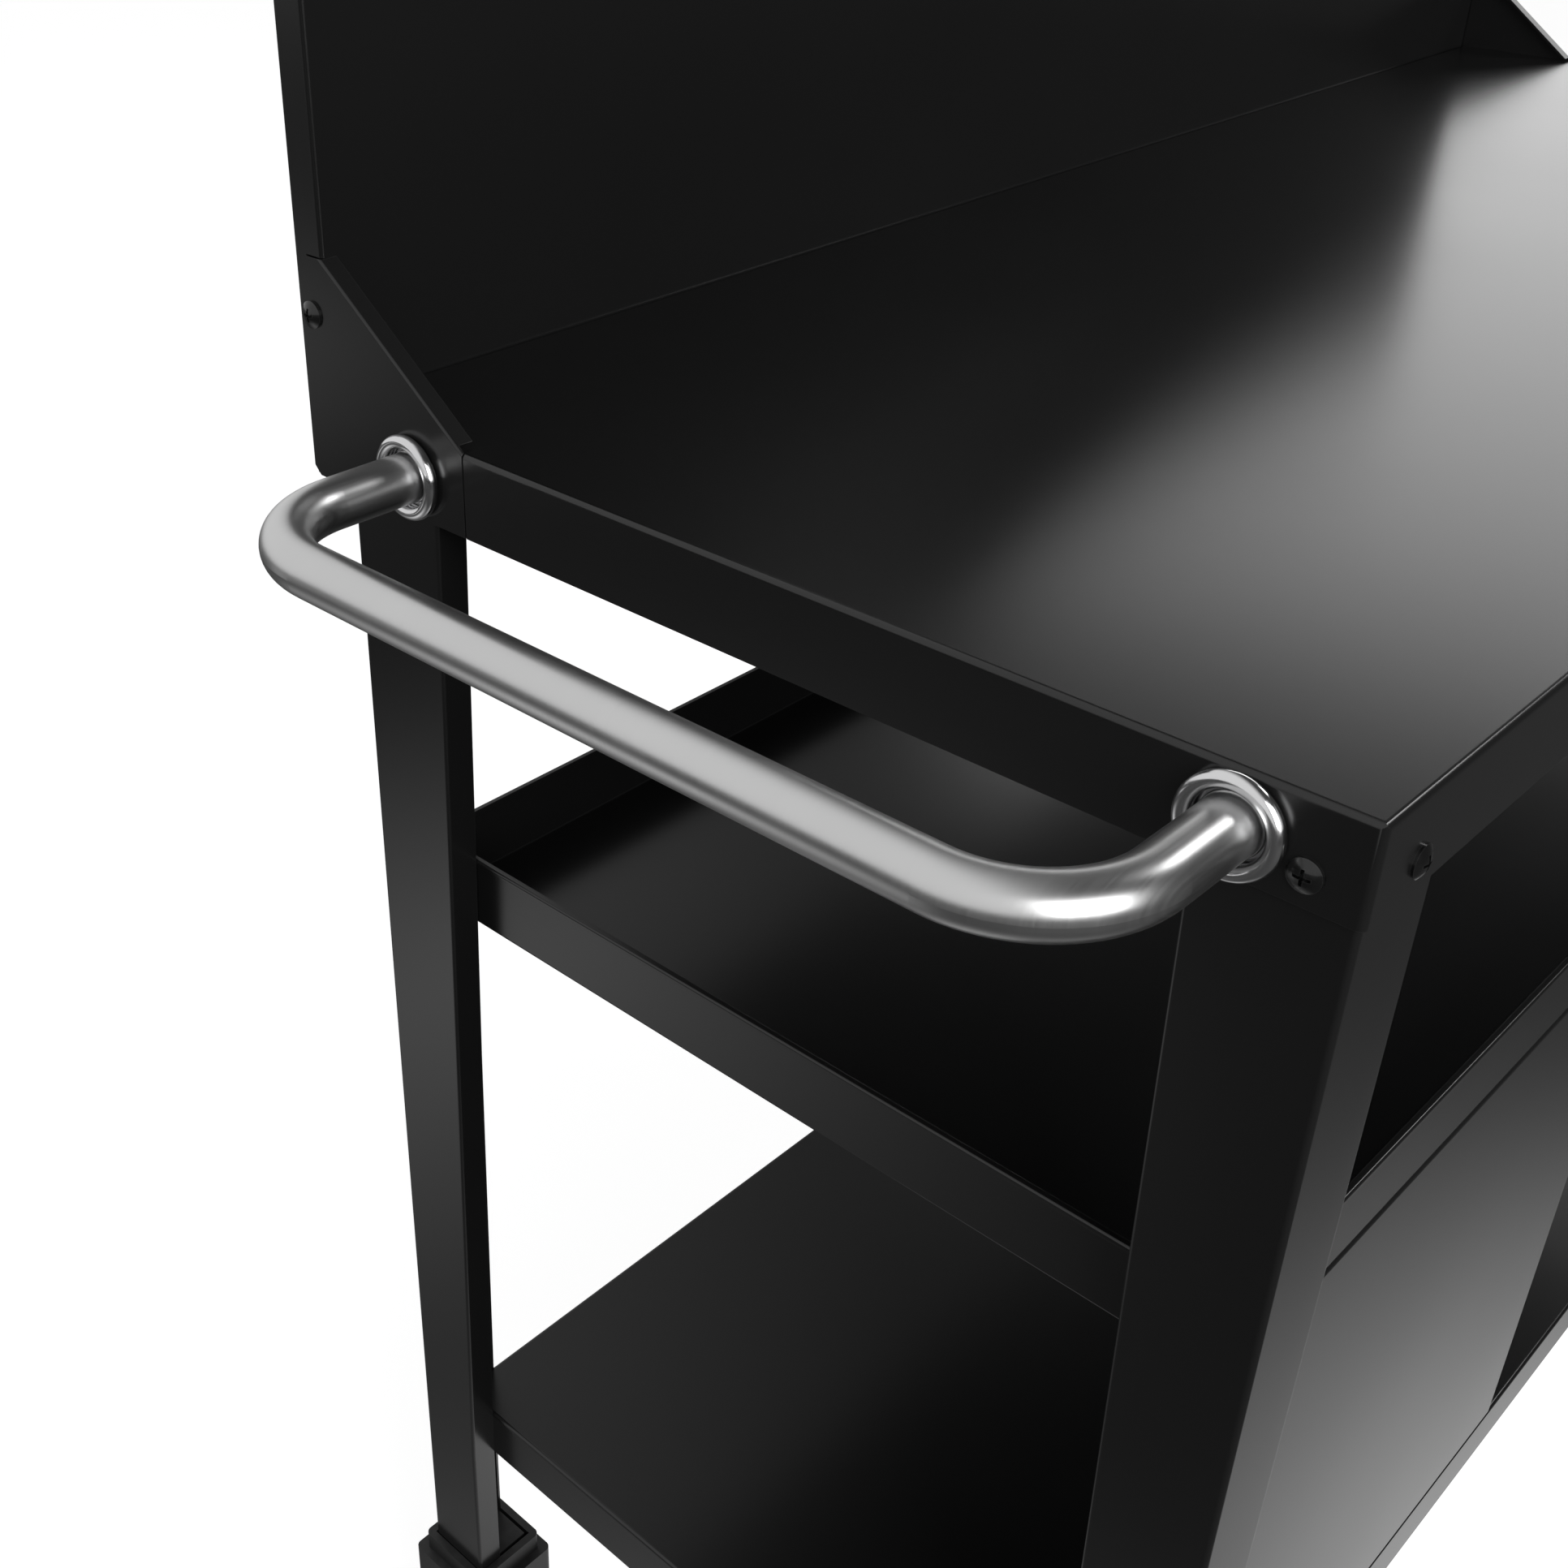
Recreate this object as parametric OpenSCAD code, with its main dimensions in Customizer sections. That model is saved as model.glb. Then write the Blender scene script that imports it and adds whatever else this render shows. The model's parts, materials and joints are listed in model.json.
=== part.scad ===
// Kitchen island cart. A folded sheet-steel worktop with a backsplash stands on four tapered
// corner posts, with a tray, a lower shelf and a fixed front panel between them. A tube handle
// is bolted to the left end, and each post stands on a stepped foot block and a swivel caster.
//
// Most modules are drawn in the worktop's frame: x runs right from the left end, y runs back
// from the front skirt, and z runs up from the work surface. place() moves that frame so that
// the origin is on the floor, under the middle of the cart's box.

/* [Worktop] */
// Length of the worktop from end to end
top_l = 1112; // [900:1:1400]
// Depth from the front skirt to the rear edge of the backsplash
top_d = 500; // [420:1:600]
// Height of the work surface above the floor
work_h = 870; // [800:1:960]
// Height of the turned-down skirts
skirt_h = 37.5; // [34:0.5:60]
// Thickness of the steel of the worktop, end plates and legs
sheet = 1.5; // [1:0.1:2]
// Thickness of the steel of the tray, shelf, panel and backsplash
thin = 1.2; // [0.8:0.1:1.5]
// Inner radius of every fold
bend_in = 1; // [0.5:0.1:1.5]
// Outer radius of the worktop's two front corners, seen from above
corner_r = 3; // [2.6:0.2:6]
// Width across the channel of a stiffener
stiff_w = 40; // [25:1:60]
// Depth of the channel of a stiffener
stiff_h = 18; // [10:1:25]
// Width of each foot of a stiffener
stiff_foot = 15; // [10:1:25]

/* [Backsplash] */
// Height of the backsplash above the worktop
back_h = 250; // [120:5:500]
// Depth of the backsplash from its face to its rear edge
back_d = 16; // [12:1:30]
// Depth of the channel rail between the rear legs and the rear skirt
rail_d = 7.5; // [5:0.5:15]
// Height of that rail
rail_h = 30; // [20:1:33]
// Length of an end gusset along the end of the worktop
gusset_d = 102; // [70:1:150]
// Height of an end gusset above the worktop
gusset_h = 62; // [50:1:110]
// Width of the flange along a gusset's slope
gusset_lip = 9; // [6:0.5:15]
// Height above the worktop at which that flange starts
gusset_lip_z = 2.2; // [0:0.1:5]
// Gap between a gusset's front edge and the end skirt before it
seam = 0.8; // [0.3:0.1:1.5]
// Depth of the slit above the gusset that frees its sloping flange
slit_d = 9; // [4:0.5:11]
// Size of the corner cut off the lower rear of each end plate
end_chamfer = 4; // [1:0.5:8]
// Height of the gusset's screw above the worktop
gusset_screw_z = 37; // [20:1:38]

/* [Legs] */
// Width of a leg's end face at its top
leg_end_top = 58; // [54:1:75]
// Width of a leg's end face below its taper
leg_end_low = 42; // [38:1:54]
// Width of a leg's front face at its top
leg_front_top = 49; // [44:1:65]
// Width of a leg's front face below its taper
leg_front_low = 40; // [36:1:44]
// Drop from the work surface to the end of the taper
taper_drop = 640; // [300:5:680]
// Depth of the lip turned in along each free edge of a leg
leg_lip = 16; // [12:0.5:20]

/* [Tray, shelf and panel] */
// Drop from the work surface to the tray's rim
tray_drop = 219; // [120:1:300]
// Height of the tray
tray_h = 38; // [25:1:80]
// Width of the folded hem along the tray's rim
hem_w = 3.2; // [2:0.1:5]
// Height of that hem
hem_h = 2.6; // [2:0.1:5]
// How far the hem stands proud of the tray's walls
hem_proud = 0.5; // [0.2:0.1:1]
// Drop from the work surface to the top of the shelf
shelf_drop = 616; // [450:1:660]
// Height of the shelf's turned-down flanges
shelf_h = 35; // [25:1:50]
// Width of the lip turned in below the shelf's flanges
shelf_lip = 15; // [12:1:25]
// Distance from the left end of the worktop to the front panel's right edge
panel_end = 433; // [250:1:850]
// Depth of the panel's turned-back edges
panel_d = 13; // [12:1:25]
// Distance of the panel's screws from its left and right edges
panel_screw = 60; // [20:1:90]

/* [Brackets] */
// Side of the square plate that carries a corner of the tray or the shelf
bracket_w = 33; // [28:1:34]
// Height of a bracket's flanges
bracket_h = 22; // [12:1:35]
// Distance of the bracket's screw from the line of the tray's walls
bracket_screw = 8; // [7:0.5:9]

/* [Handle] */
// Outer diameter of the handle's tube
handle_d = 22; // [19:0.5:28]
// Wall of the tube
handle_wall = 1.5; // [1:0.1:2.5]
// Reach from the end skirt to the middle of the tube
handle_reach = 88; // [70:1:120]
// Radius of each bend at the middle of the tube
handle_bend = 46; // [30:1:60]
// Distance of each end of the handle from the nearer leg's corner
handle_inset = 44; // [36:1:46]
// Drop from the work surface to the middle of the tube
handle_drop = 19; // [15:0.5:22]
// Outer diameter of the chrome ring around each end of the tube
ring_d = 39; // [34:0.5:44]
// Height of that ring
ring_h = 6.5; // [5:0.5:12]
// Width of the round bead at the ring's rim
ring_w = 5.2; // [4:0.2:6]
// Length of the threaded insert in each end of the tube
insert_l = 22; // [15:1:30]

/* [Fasteners] */
// Shank of the frame's screws
screw_d = 5; // [4:0.5:6]
// Diameter of their pan heads
head_d = 12; // [9:0.5:13]
// Height of their pan heads
head_h = 3; // [2:0.1:4]
// Width across the flats of their nuts
nut_af = 8; // [7:0.5:10]
// Height of their nuts
nut_h = 4; // [3:0.5:5]
// Shank of the handle's bolts
bolt_d = 8; // [6:0.5:8]
// Height of the bolts' heads
bolt_head_h = 5.3; // [4:0.1:6]
// Drop from the work surface to the screws in the skirts
screw_drop = 26; // [24:0.5:28]
// Distance from a corner of the worktop to the screw in its end skirt
end_screw = 20.5; // [15:0.5:25]
// Distance from a corner of the worktop to the screw in its front or rear skirt
front_screw = 31; // [22:0.5:33]

/* [Feet] */
// Height of a foot block's upper step
foot_up_h = 13; // [11:1:20]
// Height of a foot block's lower step
foot_low_h = 25; // [15:1:40]
// How far each step stands out past the one above it
foot_step = 5; // [3:0.5:8]
// Corner radius of a foot block
foot_r = 4; // [3:0.5:6]
// Depth that a leg's end is let into its block
foot_socket = 10; // [5:1:10]

/* [Casters] */
// Height of a caster from the floor to its foot block
caster_h = 85; // [80:1:110]
// Diameter of the wheel over its tyre
wheel_d = 60; // [50:1:64]
// Width of the tyre
tyre_w = 22; // [18:1:26]
// Thickness of the tyre
tyre_t = 8; // [5:0.5:10]
// Distance of the axle behind the swivel axis
trail = 20; // [15:1:26]
// Thickness of the fork's steel
fork_t = 2.5; // [2:0.1:3]
// Diameter of the axle
axle_d = 8; // [6:0.5:10]
// Diameter of the threaded stem
stem_d = 10; // [8:0.5:12]
// Length of the stem's thread in the foot block
stem_l = 22; // [10:1:24]
// Width of the brake pedal
pedal_w = 34; // [28:1:40]

/* [Fits] */
// Radial clearance of a shaft that turns or of a thread in its hole
run_gap = 0.05; // [0.02:0.01:0.1]
// Radial clearance of a screw in a plain hole
hole_gap = 0.25; // [0.2:0.05:0.5]
// Gap between faces that move past each other, and around the legs in their blocks
face_gap = 0.3; // [0.2:0.05:0.5]

/* [Hidden] */
$fn = 64;
eps = 1;

BLACK = "#1d1d1f";
MOULDED = "#141415";
CHROME = "#d5d6d8";
SATIN = "#a9aaac";
ZINC = "#b9bcc0";
RUBBER = "#242425";

back_y = top_d - back_d;
corner_y = back_y - rail_d;
gusset_y = top_d - gusset_d;
in_set = sheet + leg_lip;
box_l = top_l - 2 * in_set;
box_d = corner_y - 2 * in_set;
tray_floor = -tray_drop - tray_h;
panel_top = tray_floor;
panel_x = 2 * sheet + bracket_w + face_gap;
panel_l = panel_end - panel_x;
panel_h = panel_top + shelf_drop;
panel_screw_y = in_set + thin + head_d / 2 + face_gap;
panel_screw_x = [panel_x + panel_screw, panel_end - panel_screw];
screw_hole = screw_d / 2 + hole_gap;
screw_seat = in_set + bracket_screw;
grip = 2 * sheet;
tail = nut_h + 1;
hex_ratio = 1.6 / cos(30);
bore_r = handle_d / 2 - handle_wall;
rim_w = 0.8;
collar_w = 1.2;
collar_h = 2.4;
washer_r = bolt_d;
washer_h = 1.6;
stand_out = max(2 * foot_step - sheet, head_h);
foot_bottom = caster_h - work_h;
foot_top = foot_bottom + foot_low_h + foot_up_h;
leg_top = -sheet - bend_in;
leg_bottom = foot_top - foot_socket;
foot_x = sheet + leg_front_low / 2;
foot_y = sheet + leg_end_low / 2;
stiff_l = corner_y - 2 * in_set;
handle_y = [sheet + handle_inset, corner_y - sheet - handle_inset];

wheel_r = wheel_d / 2;
axle_z = wheel_r - caster_h;
wheel_side = 1.5;
arm_in = tyre_w / 2 + wheel_side;
arm_out = arm_in + fork_t;
arm_half = 1.4 * stem_d;
arm_front_h = 14;
flange_h = 3;
fork_top = -flange_h - face_gap;
fork_plate = 3;
king_low = fork_top - fork_plate - face_gap;
king_head = 2;
king_head_d = 1.7 * stem_d;
hub_wall = 4;
pivot = [-trail - 10, -17];
pivot_side = 7;
pin_d = 4;
pin_head_h = 1.5;
lever_w = 2 * (arm_in - face_gap);
lever_outline = [[0, 4.4], [-12, 6], [-16, 4], [-16, -7], [-12, -11], [-9, -10], [-3, -3]];
pedal_outline = [[-10, 6], [-36, 11], [-38, 10], [-37, 7.5], [-11, 2]];

CORNERS = [[0, 0], [1, 0], [0, 1], [1, 1]];

// ---- frames ----------------------------------------------------------------------------

// The worktop's frame, moved so that the cart's box stands centred on the origin.
module place()
  translate([(handle_reach + handle_d / 2 - top_l - stand_out) / 2, (stand_out - top_d) / 2, work_h])
    children();

// A corner of the worktop: c = [0, 0] is front left, and the others are its mirror images.
module corner(c)
  translate([c[0] * top_l, c[1] * corner_y, 0])
    mirror([c[0], 0, 0]) mirror([0, c[1], 0]) children();

// The swivel axis of a corner's caster at the underside of its foot block, never mirrored.
module caster(c)
  translate([c[0] == 0 ? foot_x : top_l - foot_x, c[1] == 0 ? foot_y : corner_y - foot_y, foot_bottom])
    children();

// Turns a shape built along z so that it points into the cart along x, or back along y.
module along_x() rotate([0, 90, 0]) children();
module along_y() rotate([-90, 0, 0]) children();

// ---- folded sheet ----------------------------------------------------------------------

// Cross-section w wide and h deep below z = 0, with its upper corners rounded to r, and its
// lower ones too where low is true.
module fold_section(w, h, r, low) {
  foot = low ? r : 0;
  translate([0, foot - h]) square([w, h - r - foot]);
  translate([r, -h]) square([w - 2 * r, h]);
  for (x = [r, w - r]) {
    translate([x, -r]) circle(r);
    if (low) translate([x, r - h]) circle(r);
  }
}

// A block l by d by h below z = 0 whose folds run along all four sides.
module fold_block(l, d, h, r, low = false) intersection() {
  rotate([90, 0, 90]) linear_extrude(l) fold_section(d, h, r, low);
  translate([0, d, 0]) rotate([90, 0, 0]) linear_extrude(d) fold_section(l, h, r, low);
}

// A rectangle with round corners.
module round_rect(w, d, r) {
  translate([r, 0]) square([w - 2 * r, d]);
  translate([0, r]) square([w, d - 2 * r]);
  for (x = [r, w - r], y = [r, d - r]) translate([x, y]) circle(r);
}

// A pan of sheet t thick: a flat plate with four walls turned down from it.
module pan(l, d, h, t) difference() {
  fold_block(l, d, h, bend_in + t);
  translate([t, t, -t]) fold_block(l - 2 * t, d - 2 * t, h, bend_in);
}

// The same with a lip turned in below its walls.
module lipped_pan(l, d, h, t, lip) difference() {
  fold_block(l, d, h, bend_in + t, true);
  translate([t, t, -t]) fold_block(l - 2 * t, d - 2 * t, h - 2 * t, bend_in, true);
  translate([lip, lip, -h - eps]) cube([l - 2 * lip, d - 2 * lip, t + 2 * eps]);
}

// A hat-section stiffener along x whose feet lie against z = 0.
module hat(l, t) translate([0, -stiff_w / 2, 0]) {
  translate([0, 0, -stiff_h]) cube([l, stiff_w, t]);
  for (y = [0, stiff_w - t]) translate([0, y, -stiff_h]) cube([l, t, stiff_h]);
  for (y = [-stiff_foot, stiff_w - t]) translate([0, y, -t]) cube([l, stiff_foot + t, t]);
}

// ---- fasteners -------------------------------------------------------------------------

// A pan-head screw along +z with its head below z = 0 and a cross recess in it.
module screw(l) {
  side = head_h / 3;
  rise = head_h - side;
  dome_r = (pow(head_d / 2, 2) + pow(rise, 2)) / (2 * rise);
  cylinder(h = l, d = screw_d);
  difference() {
    mirror([0, 0, 1]) rotate_extrude() intersection() {
      square([head_d / 2, head_h]);
      translate([0, head_h - dome_r]) circle(dome_r, $fn = 128);
    }
    for (a = [0, 90]) rotate(a)
      translate([-head_d / 4, -head_d / 20, -head_h - eps]) cube([head_d / 2, head_d / 10, head_h * 0.6 + eps]);
  }
}

module nut(af, h, d) difference() {
  cylinder(h = h, d = af / cos(30), $fn = 6);
  translate([0, 0, -eps]) cylinder(h = h + 2 * eps, r = d / 2 + run_gap);
}

// The places of the screws on one corner: along x through the end, along y through the front.
module at_end_screw(x) translate([x, end_screw, -screw_drop]) along_x() children();
module at_front_screw(y) translate([front_screw, y, -screw_drop]) along_y() children();
module at_handle_bolt(x) translate([x, sheet + handle_inset, -handle_drop]) along_x() children();
module at_gusset_screw(x) translate([x, top_d - back_d / 2, gusset_screw_z]) along_x() children();

// ---- worktop and backsplash ------------------------------------------------------------

module worktop() color(BLACK) place() difference() {
  intersection() {
    fold_block(top_l, back_y, skirt_h, bend_in + sheet);
    translate([0, 0, -skirt_h]) linear_extrude(skirt_h)
      round_rect(top_l, back_y + 2 * corner_r, corner_r);
  }
  intersection() {
    translate([sheet, sheet, -sheet]) fold_block(top_l - 2 * sheet, back_y - 2 * sheet, skirt_h, bend_in);
    translate([sheet, sheet, -skirt_h - 2 * sheet]) linear_extrude(skirt_h + sheet)
      round_rect(top_l - 2 * sheet, back_y + corner_r, corner_r - sheet);
  }
  for (x = [-eps, top_l - sheet])
    translate([x, gusset_y - seam, -skirt_h - eps])
      cube([sheet + eps, gusset_d + seam, skirt_h + 2 * eps]);
  for (c = CORNERS) corner(c) {
    if (c[1] == 0) at_end_screw(-eps) cylinder(h = sheet + 2 * eps, r = screw_hole);
    at_front_screw(-rail_d - eps) cylinder(h = rail_d + sheet + 2 * eps, r = screw_hole);
  }
  corner([0, 0]) at_handle_bolt(-eps) cylinder(h = sheet + 2 * eps, r = bolt_d / 2 + hole_gap);
}

module stiffener(share) color(BLACK) place()
  translate([top_l * share, in_set, -sheet]) rotate(90) hat(stiff_l, thin);

module rear_rail() color(BLACK) place() difference() {
  translate([in_set, corner_y - sheet, leg_top - rail_h]) difference() {
    cube([box_l, rail_d, rail_h]);
    translate([-eps, thin, thin]) cube([box_l + 2 * eps, rail_d, rail_h - 2 * thin]);
  }
  for (right = [0, 1]) corner([right, 1])
    at_front_screw(-rail_d - eps) cylinder(h = rail_d + sheet + 2 * eps, r = screw_hole);
}

module back_panel() color(BLACK) place() difference() {
  translate([sheet, back_y, -skirt_h]) rotate([90, 0, 0])
    pan(top_l - 2 * sheet, back_h + skirt_h, back_d, thin);
  for (right = [0, 1]) {
    corner([right, 1]) at_front_screw(-rail_d - thin - eps) cylinder(h = thin + 2 * eps, r = screw_hole);
    translate([right * top_l, 0, 0]) mirror([right, 0, 0])
      at_gusset_screw(sheet - eps) cylinder(h = thin + 2 * eps, r = screw_hole);
  }
}

// The plate that closes an end of the backsplash and widens below into a gusset. The gusset
// takes the place of the rear of the end skirt and has a flange along its slope.
module end_plate(right) color(BLACK) place() translate([right * top_l, 0, 0]) mirror([right, 0, 0]) {
  slope_d = back_y - gusset_y;
  slope_a = atan2(gusset_h, slope_d);
  slope_l = norm([slope_d, gusset_h]);
  difference() {
    along_end(sheet) polygon([
      [gusset_y, -skirt_h], [top_d - end_chamfer, -skirt_h], [top_d, end_chamfer - skirt_h],
      [top_d, back_h], [back_y, back_h], [back_y, gusset_h], [gusset_y, 0]
    ]);
    translate([-eps, back_y - eps, gusset_h]) cube([sheet + 2 * eps, slit_d + eps, seam]);
    corner([0, 1]) at_end_screw(-eps) cylinder(h = sheet + 2 * eps, r = screw_hole);
    if (right == 0)
      corner([0, 1]) at_handle_bolt(-eps) cylinder(h = sheet + 2 * eps, r = bolt_d / 2 + hole_gap);
    at_gusset_screw(-eps) cylinder(h = sheet + 2 * eps, r = screw_hole);
  }
  intersection() {
    translate([0, gusset_y, 0]) rotate([slope_a, 0, 0])
      translate([0, 0, -sheet]) cube([gusset_lip, slope_l, sheet]);
    union() {
      translate([0, gusset_y, 0]) cube([sheet, slope_d, gusset_h]);
      translate([0, gusset_y, gusset_lip_z]) cube([gusset_lip, slope_d, gusset_h - gusset_lip_z]);
    }
  }
}

// Extrudes an outline drawn in y and z by t along x.
module along_end(t) rotate([90, 0, 90]) linear_extrude(t) children();

// ---- legs ------------------------------------------------------------------------------

// One face of a leg, drawn as width against height, and the band along its free edge.
module leg_face(top, low, start) polygon([
  [start, leg_top], [top, leg_top], [low, -taper_drop], [low, leg_bottom], [start, leg_bottom]
]);
module leg_edge(top, low) polygon([
  [top - sheet, leg_top], [top, leg_top], [low, -taper_drop], [low, leg_bottom],
  [low - sheet, leg_bottom], [low - sheet, -taper_drop]
]);

// A tapered corner post in the front-left corner's frame, outer faces at x = y = sheet.
module post() translate([sheet, sheet, 0]) {
  r = bend_in + sheet;
  along_end(sheet) leg_face(leg_end_top, leg_end_low, r);
  along_end(leg_lip) leg_edge(leg_end_top, leg_end_low);
  along_front(sheet) leg_face(leg_front_top, leg_front_low, r);
  along_front(leg_lip) leg_edge(leg_front_top, leg_front_low);
  translate([0, 0, leg_bottom]) intersection() {
    cube([r, r, leg_top - leg_bottom]);
    translate([r, r, 0]) difference() {
      cylinder(h = leg_top - leg_bottom, r = r);
      translate([0, 0, -eps]) cylinder(h = leg_top - leg_bottom + 2 * eps, r = bend_in);
    }
  }
}

// Extrudes an outline drawn in x and z by t along y.
module along_front(t) translate([0, t, 0]) rotate([90, 0, 0]) linear_extrude(t) children();

module leg(c) color(BLACK) place() corner(c) difference() {
  post();
  at_end_screw(sheet - eps) cylinder(h = sheet + 2 * eps, r = screw_hole);
  at_front_screw(sheet - eps) cylinder(h = sheet + 2 * eps, r = screw_hole);
  if (c[0] == 0) at_handle_bolt(sheet - eps) cylinder(h = sheet + 2 * eps, r = bolt_d / 2 + hole_gap);
}

// ---- tray, shelf and panel -------------------------------------------------------------

module upper_tray() color(BLACK) place() difference() {
  translate([in_set, in_set, 0]) {
    translate([hem_proud, hem_proud, tray_floor]) mirror([0, 0, 1])
      pan(box_l - 2 * hem_proud, box_d - 2 * hem_proud, tray_h - bend_in, thin);
    translate([0, 0, -tray_drop]) difference() {
      fold_block(box_l, box_d, hem_h, hem_h / 2);
      translate([hem_w, hem_w, -hem_h - eps])
        cube([box_l - 2 * hem_w, box_d - 2 * hem_w, hem_h + 2 * eps]);
    }
  }
  for (c = CORNERS) corner(c)
    translate([screw_seat, screw_seat, tray_floor - eps])
      cylinder(h = thin + 2 * eps, r = screw_d / 2 + run_gap);
  for (x = panel_screw_x) translate([x, panel_screw_y, tray_floor - eps])
    cylinder(h = thin + 2 * eps, r = screw_d / 2 + run_gap);
}

module lower_shelf() color(BLACK) place() difference() {
  translate([in_set, in_set, -shelf_drop]) lipped_pan(box_l, box_d, shelf_h, thin, shelf_lip);
  for (c = CORNERS) corner(c)
    translate([screw_seat, screw_seat, -shelf_drop - shelf_h - eps])
      cylinder(h = thin + 2 * eps, r = screw_d / 2 + run_gap);
  for (x = panel_screw_x) translate([x, panel_screw_y, -shelf_drop - thin - eps])
    cylinder(h = thin + 2 * eps, r = screw_d / 2 + run_gap);
}

module shelf_stiffener() color(BLACK) place()
  translate([in_set + shelf_lip, in_set + box_d / 2, -shelf_drop - thin]) hat(box_l - 2 * shelf_lip, thin);

module front_panel() color(BLACK) place() difference() {
  translate([panel_x, in_set, -shelf_drop]) rotate([90, 0, 0]) pan(panel_l, panel_h, panel_d, thin);
  for (x = panel_screw_x, z = [-shelf_drop, panel_top - thin]) translate([x, panel_screw_y, z - eps])
    cylinder(h = thin + 2 * eps, r = screw_hole);
}

// A corner bracket under z = 0: a plate on two flanges that lie on the leg's inner faces.
module bracket() translate([2 * sheet, 2 * sheet, 0]) difference() {
  union() {
    translate([0, 0, -thin]) cube([bracket_w, bracket_w, thin]);
    translate([bend_in, 0, -bracket_h]) cube([bracket_w - bend_in, thin, bracket_h]);
    translate([0, bend_in, -bracket_h]) cube([thin, bracket_w - bend_in, bracket_h]);
  }
  translate([-eps, -eps, -bracket_h - eps]) cube([bend_in + eps, bend_in + eps, bracket_h + 2 * eps]);
  translate([screw_seat - 2 * sheet, screw_seat - 2 * sheet, -thin - eps])
    cylinder(h = thin + 2 * eps, r = screw_hole);
}

module brackets(z) color(BLACK) place() for (c = CORNERS) corner(c) translate([0, 0, z]) bracket();

module bracket_screws(z) color(ZINC) place()
  for (c = CORNERS) corner(c) translate([screw_seat, screw_seat, z - thin]) screw(2 * thin);

module panel_screws() color(ZINC) place() for (x = panel_screw_x) {
  translate([x, panel_screw_y, panel_top - thin]) screw(2 * thin);
  translate([x, panel_screw_y, thin - shelf_drop]) mirror([0, 0, 1]) screw(2 * thin);
}

// ---- handle ----------------------------------------------------------------------------

// The handle's tube along its middle line, for a rod of radius r.
module handle_rod(r, over = 0) {
  run = handle_y[1] - handle_y[0] - 2 * handle_bend;
  stub = handle_reach - handle_bend;
  translate([-handle_reach, handle_y[0] + handle_bend, -handle_drop]) {
    along_y() cylinder(h = run, r = r);
    translate([handle_bend, 0, 0]) {
      rotate(180) rotate_extrude(angle = 90) translate([handle_bend, 0]) circle(r);
      translate([0, -handle_bend, 0]) along_x() cylinder(h = stub + over, r = r);
    }
    translate([handle_bend, run, 0]) {
      rotate(90) rotate_extrude(angle = 90) translate([handle_bend, 0]) circle(r);
      translate([0, handle_bend, 0]) along_x() cylinder(h = stub + over, r = r);
    }
  }
}

module handle_tube() color(SATIN) place() difference() {
  handle_rod(handle_d / 2);
  handle_rod(bore_r, eps);
}

// A pressed ring around the tube: a disc with a round bead near its rim and a low collar next
// to the tube.
module escutcheon(i) color(CHROME) place() translate([0, handle_y[i], -handle_drop]) rotate([0, -90, 0])
  rotate_extrude() {
    in_r = handle_d / 2 + run_gap;
    rim_r = ring_d / 2 - rim_w;
    bead_r = ring_w / 2;
    translate([in_r, 0]) square([ring_d / 2 - in_r, rim_w]);
    translate([rim_r - ring_w, 0]) square([ring_w, ring_h - bead_r]);
    translate([rim_r - bead_r, ring_h - bead_r]) circle(bead_r);
    translate([in_r, 0]) square([collar_w, collar_h]);
    translate([in_r + collar_w / 2, collar_h]) circle(collar_w / 2);
  }

module handle_inserts() color(ZINC) place() for (y = handle_y)
  translate([-insert_l, y, -handle_drop]) along_x() difference() {
    cylinder(h = insert_l, r = bore_r - run_gap);
    translate([0, 0, -eps]) cylinder(h = insert_l + 2 * eps, r = bolt_d / 2 + run_gap);
  }

module handle_washers() color(ZINC) place() for (y = handle_y)
  translate([2 * sheet, y, -handle_drop]) along_x() difference() {
    cylinder(h = washer_h, r = washer_r);
    translate([0, 0, -eps]) cylinder(h = washer_h + 2 * eps, r = bolt_d / 2 + hole_gap);
  }

module handle_bolts() color(ZINC) place() for (y = handle_y)
  translate([2 * sheet + washer_h, y, -handle_drop]) along_x() {
    translate([0, 0, sheet - insert_l]) cylinder(h = insert_l - sheet, d = bolt_d);
    cylinder(h = bolt_head_h, d = bolt_d * hex_ratio, $fn = 6);
  }

// ---- screws of the frame ---------------------------------------------------------------

module skirt_screws() color(MOULDED) place() for (c = CORNERS) corner(c) {
  at_end_screw(0) screw(grip + tail);
  if (c[1] == 0) at_front_screw(0) screw(grip + tail);
}

module rear_screws() color(MOULDED) place() for (right = [0, 1]) corner([right, 1])
  at_front_screw(-rail_d - thin) screw(thin + rail_d + grip + tail);

module gusset_screws() color(MOULDED) place() for (right = [0, 1])
  translate([right * top_l, 0, 0]) mirror([right, 0, 0]) at_gusset_screw(0) screw(sheet + thin + tail);

module frame_nuts() color(ZINC) place() {
  for (c = CORNERS) corner(c) {
    at_end_screw(grip) nut(nut_af, nut_h, screw_d);
    at_front_screw(grip) nut(nut_af, nut_h, screw_d);
  }
  for (right = [0, 1]) translate([right * top_l, 0, 0]) mirror([right, 0, 0])
    at_gusset_screw(sheet + thin) nut(nut_af, nut_h, screw_d);
}

// ---- feet ------------------------------------------------------------------------------

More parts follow.
